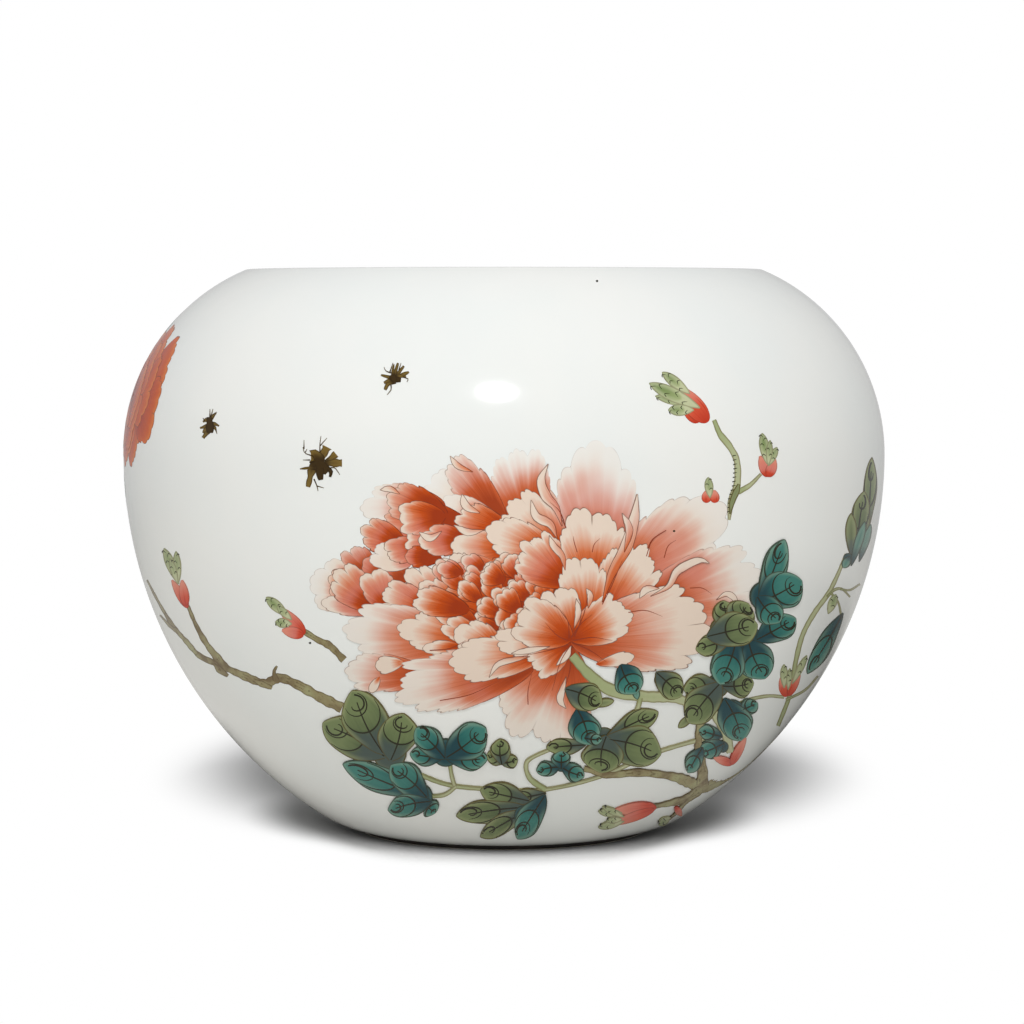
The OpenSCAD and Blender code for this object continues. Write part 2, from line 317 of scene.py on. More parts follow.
shoulder_c, lower_c = (BODY_R - SHOULDER_R, BELLY_Z), (BODY_R - LOWER_R, BELLY_Z)
heel_c, lip_c = (FOOT_MID_R, HEEL_Z), (MOUTH_R, LIP_Z)
well_reach = LOWER_R - WALL - WELL_R
WELL_A = math.asin((BELLY_Z - FLOOR_Z - WELL_R) / well_reach)
well_c = (lower_c[0] + well_reach * math.cos(WELL_A), FLOOR_Z + WELL_R)


def foot_turn(r):
    """Where an arc round the heel's centre meets the foot ring's outside."""
    return -math.acos((FOOT_R - FOOT_MID_R) / r)


def glaze_skin():
    """The glaze from the foot ring over the lip to the floor of the well, back along its underside."""
    outside, underside = [], []
    # A centre, the radius of each side, where the arc starts and ends, and the steps of each side in degrees
    for centre, r, under_r, start, end, step, under_step in (
        (heel_c, HEEL_R, HEEL_R - GLAZE, None, -HEEL_A, 3, 12),
        (lower_c, LOWER_R, LOWER_R - GLAZE, -HEEL_A, 0, 1.5, 8),
        (shoulder_c, SHOULDER_R, SHOULDER_R - GLAZE, 0, LIP_A, 2.5, 12),
        (lip_c, LIP_R, LIP_R - GLAZE, LIP_A, LIP_A + math.pi, 12, 30),
        (shoulder_c, SHOULDER_R - WALL, SHOULDER_R - WALL + GLAZE, LIP_A, 0, 4, 12),
        (lower_c, LOWER_R - WALL, LOWER_R - WALL + GLAZE, 0, -WELL_A, 3, 8),
        (well_c, WELL_R, WELL_R + GLAZE, -WELL_A, -math.pi / 2, 5, 15),
    ):
        for side, side_r, side_step in ((outside, r, step), (underside, under_r, under_step)):
            side[-1:] = arc(centre, side_r, foot_turn(side_r) if start is None else start, end, side_step)
    return outside + [(0, FLOOR_Z), (0, FLOOR_Z - GLAZE)] + underside[::-1] + outside[:1]


glaze_material = porcelain()
glaze = turned("glaze", glaze_skin(), GLAZE_STEPS)
hand_over(glaze, "clear_glaze", glaze_material, "outer_glaze", "inner_glaze")


# Painting: every field is a small grid drawn in the photograph's pixels and laid on the wall

OUTER, INNER, HEART, CURLED = "peony_outer_petals", "peony_inner_petals", "peony_heart", "peony_curls"
GREEN, BLUE, STALK, BRANCH = "green_leaves", "blue_leaves", "leaf_stalks", "branches"
BUD, SEPAL, RED, BEE = "buds", "bud_sepals", "red_blossom", "bees"
RED_LINE, DARK_LINE = "petal_lines", "leaf_lines"

COAT_CELLS, COAT_CELL_MM = 600, 0.6
SEED_STEP, SEED_SPAN = 1.618, 10
# A petal's outline: its points, how narrow its root is, and the grid's columns per pixel of lobes and of sides
OUTLINE_POINTS, NECK, LOBE_COLUMNS, SIDE_COLUMNS = 481, 0.5, 0.66, 0.22
# A leaf's lobe: where it is widest, where its fold lies, and how far the fold reaches
WIDEST_AT, FOLD_AT, FOLD_REACH = 0.58, 0.66, 0.29
LEAF_PX, LEAF_WIDE_PX = 51, 34
# Widths from which a lobe has veins and a tucked edge, and a sepal has more ticks
VEINED_PX, TUCKED_PX, WIDE_SEPAL_PX = 12, 22, 9
# A distance from the clefts between lobes that keeps their lines away
NO_CLEFT = 9.0

coats = np.zeros((COAT_CELLS, COAT_CELLS), int)
painted = {}
order = itertools.count()


def pairs(row):
    """Points from a row of numbers, x and y in turn."""
    return list(zip(row[::2], row[1::2]))


def coats_under(turn, z, stays):
    """Coats of enamel below a field. One that stays counts for the fields painted after it."""
    cells = (np.degrees(turn) / 360 * COAT_CELLS).astype(int) % COAT_CELLS, (z / COAT_CELL_MM).astype(int)
    coat = coats[cells].max()
    if stays:
        coats[cells] = coat + 1
    return coat


def lay(piece, view, shape, columns, rows, stays=True, **marks):
    """One field of enamel. The shape gives pixels for places across it, -1 to 1, and along it, 0 to 1."""
    bpy.ops.mesh.primitive_grid_add(x_subdivisions=columns, y_subdivisions=rows, size=2)
    field = bpy.context.object
    mesh = field.data
    flat = np.empty(len(mesh.vertices) * 3)
    mesh.vertices.foreach_get("co", flat)
    u, v = flat[0::3], (flat[1::3] + 1) / 2
    turn, z = view(*shape(u, v))
    coat = coats_under(turn, z, stays) + (0 if stays else -0.5)
    mesh.vertices.foreach_set("co", on_wall(turn, z, FIRST_COAT + coat * NEXT_COAT).ravel())
    marks["seed"] = next(order) * SEED_STEP % SEED_SPAN
    for name, mark in marks.items():
        values = np.broadcast_to(mark(u, v) if callable(mark) else mark, u.shape)
        mesh.attributes.new(name, "FLOAT", "POINT").data.foreach_set("value", values.astype(np.float32))
    painted.setdefault(piece, []).append(field)


def gathered(name):
    """All fields of one piece joined, closed at their tips, given their depth and smoothed."""
    bpy.ops.object.select_all(action="DESELECT")
    for field in painted[name]:
        field.select_set(True)
    piece = painted[name][0]
    bpy.context.view_layer.objects.active = piece
    bpy.ops.object.join()
    piece.name = name
    bpy.ops.object.mode_set(mode="EDIT")
    bpy.ops.mesh.select_all(action="SELECT")
    bpy.ops.mesh.remove_doubles(threshold=2e-7)
    bpy.ops.object.mode_set(mode="OBJECT")
    depth = piece.modifiers.new("depth", "SOLIDIFY")
    depth.thickness, depth.offset = ENAMEL_DEPTH / 1000, -1
    bpy.ops.object.modifier_apply(modifier=depth.name)
    bpy.ops.object.shade_smooth_by_angle(angle=SMOOTH_ANGLE)
    return piece


def laid_between(root, tip):
    """The length from a root to a tip, and the pixels of a share of the way along it and pixels to its side."""
    axis = np.subtract(tip, root)
    length = math.hypot(*axis)
    side = np.array([-axis[1], axis[0]]) / length

    def at(along, across):
        return tuple(root[i] + axis[i] * along + side[i] * across for i in (0, 1))

    return length, at


def petal(piece, root, tip, width, lobes, pale=0.0, fade=0.0, notch=0.15, view=seen_at):
    """A petal that opens like a fan from its root and ends in rounded lobes."""
    length, at = laid_between(root, tip)
    seed = 1.7 * next(order)
    # The outline from the root round the tip, first without its lobes
    sweep = np.linspace(-math.pi, math.pi, OUTLINE_POINTS)
    share = (1 + np.cos(sweep)) / 2
    girth = np.sin(sweep) * (NECK + (1 - NECK) * share)
    girth *= width / 2 / girth.max()
    rising, widening = np.gradient(share * length), np.gradient(girth)
    pace = np.hypot(rising, widening)
    way = np.cumsum(pace) - pace.sum() / 2
    top = np.interp(math.pi / 2 + 0.25, sweep, way)
    # Places across the field lie closer together along the lobes than along the sides
    place = np.cumsum(pace * np.where(np.abs(way) < top, LOBE_COLUMNS, SIDE_COLUMNS))
    columns = int(place[-1])
    place = (place - place[0]) / (place[-1] - place[0]) * 2 - 1
    # Lobes of uneven width, each with a finer frill, and the notches between them
    across = way / top
    uneven = np.sin(2.4 * across + seed) - math.sin(seed) * np.cos(2.4 * across)
    lobe = lobes * (across + 0.12 * uneven + 1) / 2
    finger = np.sqrt(np.abs(np.sin(np.pi * lobe)))
    shown = np.clip((top - np.abs(way)) / (0.3 * top), 0, 1)
    lobe_px = 2 * top / lobes
    frill = np.clip((lobe_px - 10) / 12, 0, 1) * finger * (1 - np.sqrt(np.abs(np.sin(3 * np.pi * lobe))))
    cut = notch * ((0.75 + 0.25 * np.sin(4.1 * np.round(lobe) + seed)) * (1 - finger) + 0.34 * frill)
    swell = 0.3 * notch * np.sin(2.7 * np.floor(lobe) + seed) * finger
    reach = 1 + shown * (swell - cut)
    run = np.hypot(share * length, girth)
    facing = np.abs(share * length * widening - girth * rising) / np.maximum(pace * run, 1e-6)

    def of(values):
        return lambda u: np.interp(u, place, values)

    share_at, girth_at, reach_at, run_at, facing_at = map(of, (share, girth, reach, run, facing))
    way_at, lobe_at, shown_at = map(of, (way, lobe, shown))
    lay(
        piece, view, lambda u, v: at(v * share_at(u) * reach_at(u), v * girth_at(u) * reach_at(u)),
        max(12, columns), max(5, int(length / 6)),
        along=lambda u, v: v * (0.72 * share_at(u) + 0.28),
        rim=lambda u, v: (1 - v) * run_at(u) * facing_at(u),
        grain=lambda u, v: way_at(u),
        cleft=lambda u, v: np.abs((lobe_at(u) + 0.5) % 1 - 0.5) * lobe_px + NO_CLEFT * (1 - shown_at(u)),
        pale=pale, fade=fade,
    )


def flowing(points):
    """A smooth curve through points, asked for at shares of its way, and its direction there."""
    before, after = np.multiply(2, points[0]) - points[1], np.multiply(2, points[-1]) - points[-2]
    p = np.array([before, *points, after], float)

    def at(v):
        t = np.clip(v, 0, 1) * (len(points) - 1)
        i = np.minimum(t.astype(int), len(points) - 2)
        f = (t - i)[:, None]
        a, b, c, d = p[i], p[i + 1], p[i + 2], p[i + 3]
        square, cube = 2 * a - 5 * b + 4 * c - d, 3 * b - a - 3 * c + d
        place = 0.5 * (2 * b + (c - a) * f + square * f**2 + cube * f**3)
        way = 0.5 * (c - a + 2 * square * f + 3 * cube * f**2)
        return place, way / np.maximum(np.linalg.norm(way, axis=1, keepdims=True), 1e-6)

    return at


def stroke(piece, points, widths, view=seen_at, stays=True, rough=0.0, columns=4, **marks):
    """A brush stroke through points, as wide as told at evenly spaced places on its way."""
    at = flowing(points)
    length = np.linalg.norm(np.diff(np.array(points, float), axis=0), axis=1).sum()
    stops = np.linspace(0, 1, len(widths))

    def wide(v):
        run = v * length
        knots = np.sin(0.23 * run + 2 * np.sin(0.041 * run) + length)
        knots = knots + np.sin(0.57 * run + 2 * np.sin(0.067 * run))
        return np.interp(v, stops, widths) * (1 + rough * knots)

    def shape(u, v):
        place, way = at(v)
        across = u * wide(v) / 2
        return place[:, 0] - way[:, 1] * across, place[:, 1] + way[:, 0] * across

    lay(
        piece, view, shape, columns, max(4, int(length / 2.5)), stays=stays,
        **{"along": lambda u, v: v, "rim": lambda u, v: (1 - np.abs(u)) * wide(v) / 2,
           "grain": lambda u, v: v * length, **marks},
    )


def curl(points, width, pale):
    """The turned-over edge of a petal, darker where it comes out of the petal."""
    stroke(
        CURLED, points, (width * 0.1, width * 0.8, width, width * 0.7, width * 0.1), columns=8,
        pale=pale, fade=0.0, cleft=NO_CLEFT, grain=lambda u, v: u * width / 2,
        along=lambda u, v: 0.85 - 0.45 * v + 0.12 * u,
    )


def leaf_lobe(piece, root, tip, width, view=seen_at, veins=True, point=0.74, foot=0.1, **marks):
    """One lobe of a leaf, with its midrib, the fold that it curls out of and the curl at its tip."""
    length, beside = laid_between(root, tip)
    seed = root[0] + 2 * tip[1]
    uneven = 0.08 if veins else 0.0

    def spread(v):
        low = foot + (1 - foot) * np.sin(np.pi / 2 * np.minimum(v / WIDEST_AT, 1)) ** 0.8
        high = np.maximum(1 - (np.maximum(v - WIDEST_AT, 0) / (1 - WIDEST_AT)) ** 2, 0) ** point
        return low * high

    def at(across, along):
        return beside(along, across * width / 2)

    def wavy(u, v):
        return 1 + uneven * np.sin(7 * v + seed + 1.5 * np.sign(u))

    def eased(v):
        return 1 - (1 - v) ** 1.6

    def fold_off(u, v):
        return np.hypot(u * spread(v) / 0.85, (v - FOLD_AT) / FOLD_REACH) - 1

    lay(
        piece, view, lambda u, v: at(u * spread(eased(v)) * wavy(u, eased(v)), eased(v)),
        max(8, int(width / 2)), max(8, int(length / 2.5)),
        **{"along": lambda u, v: eased(v),
           "rim": lambda u, v: (1 - np.abs(u)) * spread(eased(v)) * width / 2,
           "grain": lambda u, v: u * width / 2,
           "fold": lambda u, v: fold_off(u, eased(v)), **marks},
    )
    if not veins:
        return
    lean, hand = 0.12 * math.sin(seed), math.copysign(1, math.sin(3 * seed))
    up, t = np.linspace(0, 1, 5), np.linspace(-1, 1, 9)
    curling, tucked = 2.3 * t + 2.6, 2.1 * t + 0.4 * hand
    midrib = at(lean * np.sin(3 * up), 0.02 + 0.8 * up)
    fold = at(0.84 * np.sin(1.9 * t) + 0.5 * lean, FOLD_AT - FOLD_REACH * np.cos(1.9 * t))
    curl_out = at(hand * (0.34 - 0.14 * t) * np.sin(curling) + lean, 0.79 + (0.1 - 0.05 * t) * np.cos(curling))
    lines = [(midrib, (1.2, 1.6, 1.1)), (fold, (0.5, 1.3, 1.8, 1.3, 0.5)), (curl_out, (1.7, 1.8, 0.8))]
    if width > TUCKED_PX:
        tuck = at(0.5 * np.sin(tucked) + lean, 0.8 - 0.17 * np.cos(tucked))
        lines.append((tuck, (0.3, 1.0, 1.4, 1.4, 0.6)))
    for line, widths in lines:
        stroke(DARK_LINE, np.transpose(line), widths, view, False)


def leaf_body(piece, middle, r, view=seen_at):
    """The dark middle of a leaf, under its lobes."""

    def shape(u, v):
        return middle[0] + r * v * np.cos(np.pi * u), middle[1] + r * v * np.sin(np.pi * u)

    lay(
        piece, view, shape, 24, 5,
        along=lambda u, v: 0.25 * v, rim=lambda u, v: (1 - v) * r, grain=lambda u, v: u * r, fold=1.0,
    )


def leaf(piece, turn, rise, heading, size):
    """A leaf of three lobes at a place on the wall, heading in degrees from straight up."""
    view = unrolled(turn, rise)
    leaf_body(piece, (0, 0), 9 * size, view)
    for side, share in ((-62, 0.8), (62, 0.8), (0, 1.0)):
        a = math.radians(heading + side)
        way = np.array([math.sin(a), -math.cos(a)]) * LEAF_PX * size * share
        leaf_lobe(piece, tuple(way * 0.06), tuple(way), LEAF_WIDE_PX * size * share, view=view)


def bud_petal(base, tip, width, view=seen_at):
    """A petal of a bud, round at its base, deep red there and paler towards its tip."""
    leaf_lobe(BUD, tip, base, width, view=view, veins=False, point=0.5, foot=0.2,
              along=lambda u, v: (1 - v) ** 1.2, pale=0.0, fade=0.0, cleft=NO_CLEFT)


def sepal(root, tip, width, view=seen_at):
    """A sprouting sepal, crossed by short hooked ticks of the brush."""
    leaf_lobe(SEPAL, root, tip, width, view=view, veins=False)
    at = laid_between(root, tip)[1]
    ticks = ((0.42, 1), (0.64, -1), (0.86, 1))
    if width > WIDE_SEPAL_PX:
        ticks = ((0.28, -1), (0.46, 1), (0.62, -1), (0.78, 1), (0.9, -1))
    for along, hand in ticks:
        hook = [
            at(along + step, width / 2 * hand * out) for step, out in ((-0.03, 0.0), (0.05, 0.4), (0.0, 0.72))
        ]
        stroke(DARK_LINE, hook, (0.3, 1.0, 0.6), view, False)


# The far side: leaves at a turn, a rise, a heading and a share of their full size

for far_leaf in (
    (GREEN, 100, -23, 10, 1.15), (GREEN, 128, -34, 130, 1.1),
    (GREEN, 176, -12, 150, 1.15), (GREEN, -104, -8, 190, 1.1),
    (BLUE, 120, -17, 10, 1.15), (BLUE, -126, -2, 170, 1.1),
    # These two small blue leaves lie on the left edge, where their dark enamel also stands as painted shade along
    # that edge
    (BLUE, -85, -3, 190, 0.8), (BLUE, -86, 17, -20, 0.8),
):
    leaf(*far_leaf)

# The branch round the back, with the stalks of its leaves and its buds, from places given as a turn and a rise

BACK_AT = (145, -20)
FAR_STALK = (5, 4)
BACK_BRANCH = (
    50, -49.4, 56, -50.2, 62, -50, 70, -48, 76, -44, 86, -41.5, 94, -37, 104, -34, 112, -28, 122, -25, 130, -19.5,
    141, -15.5, 148, -10, 159, -7, 168, -2, 180, -0.5, 190, 3, 202, 3, 212, 6, 222, 5.5, 232, 8, 248, 8,
)


def round_back(places):
    """Places on the wall as pixels of the flat drawing round the back."""
    return [
        (math.radians(turn - BACK_AT[0]) * float(wall(BELLY_Z + rise)[0]) / PX_MM, (BACK_AT[1] - rise) / PX_MM)
        for turn, rise in pairs(places)
    ]


at_back = unrolled(*BACK_AT)
for piece, places, widths in (
    (BRANCH, BACK_BRANCH, (12, 11, 9, 9, 8, 6, 4)), (BRANCH, (82, -43, 86, -37, 88, -31), (7, 4, 2)),
    (BRANCH, (150, -10, 157, -1, 159, 6), (7, 5, 3)), (BRANCH, (196, 3, 204, -6, 206, -13), (6, 5, 3)),
    (STALK, (104, -33, 101, -28, 100, -22), FAR_STALK), (STALK, (118, -26, 124, -28, 128, -34), FAR_STALK),
    (STALK, (166, -4, 172, -7, 176, -13), FAR_STALK), (STALK, (116, -27, 119, -22, 120, -17), FAR_STALK),
    (STALK, (222, 6, 230, 4, 235, -3), FAR_STALK), (STALK, (244, 8, 252, 2, 256, -8), FAR_STALK),
):
    stroke(piece, round_back(places), widths, at_back, rough=0.08)
for x, y in round_back((236, 8, 88, -31, 159, 6, 206, -13)):
    for hand in (-1, 1):
        bud_petal((x, y), (x + 7 * hand, y - 30), 17, at_back)
        sepal((x, y - 16), (x + 13 * hand, y - 34), 8, at_back)
    sepal((x, y - 18), (x, y - 42), 8, at_back)

# The front is painted after the far side, with its own count of fields

order = itertools.count()

# The peony, from its back to its front: root, tip, width, lobes, how pale, and how far it fades if it does

BACK_PETALS = (
    (HEART, 590, 640, 470, 520, 170, 7, -0.1),
    (OUTER, 600, 590, 596, 444, 84, 5, -0.04, 1.0), (OUTER, 530, 536, 516, 447, 60, 5, -0.1, 1.0),
    (OUTER, 490, 526, 426, 480, 54, 4, 0.3, 1.0), (OUTER, 508, 530, 448, 457, 38, 4, -0.22, 0.5),
    (OUTER, 506, 528, 434, 506, 40, 4, 0.1, 0.7), (OUTER, 446, 506, 362, 508, 50, 5, -0.05, 0.8),
    (OUTER, 360, 594, 312, 579, 56, 3, 0.12, 0.9), (HEART, 396, 604, 326, 584, 46, 4, -0.25),
    (OUTER, 380, 584, 346, 548, 30, 4, -0.3, 0.2), (OUTER, 400, 588, 362, 558, 28, 3, -0.38),
    (OUTER, 420, 592, 384, 565, 26, 3, -0.38), (OUTER, 606, 588, 722, 508, 78, 5, 0.06, 0.8),
    (OUTER, 626, 616, 766, 570, 80, 5, 0.02, 0.8), (OUTER, 380, 612, 321, 602, 20, 3, 0.0, 0.3),
    (HEART, 476, 532, 384, 526, 60, 6, -0.32), (INNER, 448, 516, 386, 495, 40, 5, -0.28, 0.2),
    (INNER, 408, 548, 361, 528, 34, 5, -0.2), (OUTER, 412, 564, 371, 552, 30, 4, 0.4, 0.6),
    (INNER, 428, 546, 384, 552, 28, 4, -0.16), (INNER, 446, 536, 404, 541, 26, 4, -0.12),
    (INNER, 442, 558, 403, 556, 22, 3, -0.4), (INNER, 446, 516, 397, 519, 36, 5, -0.1),
    (INNER, 472, 540, 420, 540, 34, 5, -0.14), (INNER, 516, 534, 455, 512, 32, 4, -0.14),
    (INNER, 518, 550, 452, 545, 38, 5, 0.02), (INNER, 570, 562, 507, 499, 56, 5, 0.06),
    (INNER, 562, 556, 486, 528, 42, 5, 0.06), (INNER, 378, 610, 334, 570, 40, 5, -0.06),
    (INNER, 392, 612, 369, 570, 36, 4, -0.06), (INNER, 450, 614, 407, 570, 40, 5, 0.02),
    (INNER, 436, 612, 380, 592, 38, 5, -0.06), (INNER, 470, 614, 421, 584, 36, 5, -0.1),
    (INNER, 480, 590, 445, 555, 32, 4, 0.0), (HEART, 575, 630, 440, 588, 96, 7, -0.36),
)
FRONT_PETALS = (
    (INNER, 570, 584, 522, 543, 54, 7, -0.04), (INNER, 592, 600, 592, 506, 66, 6, 0.06),
    (INNER, 600, 622, 645, 546, 60, 7, 0.08), (INNER, 588, 630, 579, 554, 48, 6, 0.08),
    (OUTER, 474, 640, 343, 628, 60, 5, 0.02, 0.7), (OUTER, 436, 676, 343, 670, 40, 5, -0.06, 0.6),
    (INNER, 404, 662, 374, 666, 18, 3, 0.4), (INNER, 380, 676, 370, 693, 10, 1, 0.35),
    (INNER, 478, 640, 400, 627, 42, 5, 0.06), (INNER, 462, 646, 424, 648, 16, 3, 0.1),
    (INNER, 478, 626, 434, 604, 30, 4, -0.04), (INNER, 486, 640, 442, 622, 26, 4, -0.06),
    (INNER, 506, 652, 456, 630, 40, 5, 0.04), (INNER, 470, 610, 412, 596, 30, 4, -0.1),
    (OUTER, 571, 646, 527, 740, 100, 8, 0.02, 0.5), (OUTER, 534, 666, 394, 690, 62, 8, -0.02, 0.5),
    (INNER, 548, 652, 448, 662, 46, 5, 0.16), (INNER, 566, 644, 492, 640, 30, 4, 0.12),
    (OUTER, 570, 641, 714, 622, 86, 6, 0.1), (INNER, 596, 664, 636, 655, 14, 3, 0.3),
    (INNER, 570, 639, 629, 607, 48, 6, 0.1), (INNER, 574, 632, 551, 588, 42, 6, 0.15),
    (INNER, 571, 643, 531, 669, 36, 5, -0.02), (INNER, 572, 639, 515, 613, 52, 7, 0.08),
)
# Turned edges: a width, how pale, and the points
CURLS = (
    (9, 0.2, 709, 563, 700, 560, 688, 564, 676, 572, 668, 586, 650, 596),
    (11, 0.08, 548, 464, 541, 480, 546, 496, 556, 508, 562, 526),
    (13, 0.0, 637, 494, 634, 518, 626, 546, 612, 572, 602, 602),
    (9, 0.2, 462, 494, 466, 506, 480, 513), (8, 0.15, 454, 525, 468, 532, 484, 530),
    (8, 0.2, 419, 532, 430, 538, 442, 531), (7, 0.1, 380, 490, 390, 489, 400, 494),
    (7, 0.05, 450, 456, 458, 466, 473, 472), (7, 0.25, 511, 653, 528, 650, 550, 646),
    (7, 0.1, 489, 677, 498, 664, 514, 659, 530, 656), (8, 0.0, 622, 513, 629, 530, 624, 552),
    (8, 0.2, 639, 598, 646, 589, 659, 588), (10, 0.08, 531, 500, 536, 516, 550, 524, 557, 538),
    (8, 0.05, 549, 535, 553, 545, 562, 556, 565, 570), (7, 0.1, 586, 588, 590, 596, 588, 608),
    (7, 0.15, 576, 598, 578, 612, 574, 628), (8, 0.25, 556, 665, 566, 655, 571, 645),
    (8, 0.2, 566, 708, 560, 700, 562, 690, 566, 676), (7, 0.25, 736, 608, 734, 598, 726, 594, 716, 600),
)
VEINS = (
    (567, 640, 556, 634, 545, 622), (569, 638, 568, 622, 562, 610), (571, 637, 580, 624, 592, 614),
    (573, 640, 592, 637, 612, 640), (572, 642, 590, 650, 606, 661), (570, 645, 560, 662, 552, 690),
    (571, 647, 570, 668, 564, 690), (568, 644, 548, 650, 520, 656), (574, 636, 584, 612, 588, 590),
    (602, 604, 612, 584, 622, 560), (628, 612, 645, 610, 662, 616), (646, 556, 652, 540, 666, 530),
    (664, 558, 668, 546, 676, 540), (690, 588, 702, 588, 712, 594), (566, 528, 560, 512, 550, 502),
    (577, 552, 574, 542, 573, 536), (592, 552, 594, 544, 600, 538), (430, 650, 450, 648, 466, 640),
    (440, 700, 470, 694, 500, 680), (528, 704, 528, 690, 532, 672),
)
CALYX, HEART_RINGS, HEART_REACH, RING_STEP, HEART_EDGE = (568, 640), 9, 156, 13, (428, 548)


def every_other(count):
    """A ring's petals in the order of painting: the even ones, then the odd ones over them."""
    return *range(0, count, 2), *range(1, count, 2)


def heart_petals():
    """Close rows of small petals that point away from the calyx."""
    for ring in range(HEART_RINGS):
        reach = HEART_REACH - RING_STEP * ring
        count = int(reach * 1.35 / 17)
        for i in every_other(count):
            swing = math.sin(9 * i + 4 * ring)
            a = math.radians(-6 + 78 * (i + 0.5 * (ring % 2)) / count + 4 * swing)
            out = np.multiply(reach + 7 * math.sin(5 * i + 2 * ring), (-math.cos(a), -math.sin(a)))
            tip = np.add(CALYX, out)
            lie = a + 0.25 * swing
            root = tip + np.multiply(28 + 3 * swing, (math.cos(lie), math.sin(lie)))
            if all(tip > HEART_EDGE):
                width, lobes = 21 + 3 * math.sin(7 * i + ring), 3 + (i + ring) % 2
                petal(HEART, tuple(root), tuple(tip), width, lobes, -0.14, notch=0.2)


def petals(rows):
    for piece, x, y, tip_x, tip_y, *look in rows:
        petal(piece, (x, y), (tip_x, tip_y), *look)


petals(BACK_PETALS)
heart_petals()
petals(FRONT_PETALS)
for width, pale, *points in CURLS:
    curl(pairs(points), width, pale)
for points in VEINS:
    stroke(RED_LINE, pairs(points), (0.9, 0.8, 0.2), stays=False)

# Stalks and branches: points and widths

for points, widths in (
    ((572, 655, 590, 675, 612, 690, 645, 696, 672, 697, 692, 704, 712, 712, 724, 730, 730, 752),
     (9, 12, 11, 9, 10, 8)),
    ((397, 762, 420, 774, 452, 785, 500, 789, 545, 789, 600, 776, 650, 754, 700, 739, 722, 735),
     (4, 4, 3.5, 4, 4)),
    ((450, 764, 452, 776, 455, 786), (4, 4)), ((430, 796, 445, 794, 456, 786), (3.5, 4)),
    ((545, 789, 530, 778, 526, 764, 534, 756, 560, 745), (6, 5, 4, 3)), ((640, 697, 638, 706, 634, 714), (5, 4)),
    ((730, 708, 748, 700, 768, 696, 784, 697), (4, 3.5)),
    ((778, 726, 790, 694, 796, 660, 803, 634, 815, 612, 828, 594, 838, 574, 846, 554), (4, 5, 5, 3)),
    ((786, 700, 805, 690, 818, 676), (3, 2)), ((827, 597, 834, 590, 842, 589, 850, 597), (3, 3, 2)),
    ((840, 589, 850, 590, 860, 584), (2.5, 2)), ((830, 592, 838, 602, 841, 615), (2.5, 2)),
    ((714, 420, 720, 434, 730, 447, 737, 462, 737, 485, 731, 502, 729, 520), (4, 7, 6, 8, 3)),
    ((738, 492, 750, 485, 761, 474), (6, 3)),
):
    stroke(STALK, pairs(points), widths, rough=0.04)
for i in range(14):
    x, y = np.interp(i, (0, 3, 7, 10, 13), (732.5, 733.5, 732, 728, 727)), 456 + 4.3 * i
    stroke(DARK_LINE, ((x, y), (x + 3.5, y - 0.8)), (1.2, 0.6), stays=False)
stroke(GREEN, ((739, 484), (736, 492), (732, 502), (730, 514)), (3, 7, 6, 2), along=0.8, fold=1.0)
for points, widths in (
    ((342, 708, 318, 696, 298, 685, 280, 678, 264, 683, 242, 675, 222, 666, 200, 656, 186, 641, 173, 626, 159, 603,
      147, 580), (11, 9, 9, 7, 5, 4, 1.5)),
    ((226, 668, 208, 646, 196, 625, 188, 606), (8, 5, 3)), ((276, 680, 274, 672, 277, 666), (6, 4, 2)),
    ((176, 630, 170, 626, 160, 615), (5, 3, 1.5)), ((228, 676, 220, 670, 214, 664), (3, 7, 3)),
    ((272, 688, 262, 684, 254, 680), (3, 7, 3)), ((344, 660, 330, 646, 318, 640, 302, 630), (7, 7, 5)),
    ((584, 768, 608, 774, 640, 772, 672, 776, 690, 782, 702, 787), (5, 7, 7, 8, 12, 11)),
    ((700, 722, 698, 745, 702, 765, 702, 784), (7, 8, 11)),
    ((652, 806, 672, 802, 688, 797, 700, 788), (4, 6, 8, 8)),
    ((688, 799, 682, 805, 676, 812, 668, 819), (4, 3, 2)),
):
    stroke(BRANCH, pairs(points), widths, rough=0.09)

# Leaves: a dark middle with its reach, then lobes of a root, a tip and a width

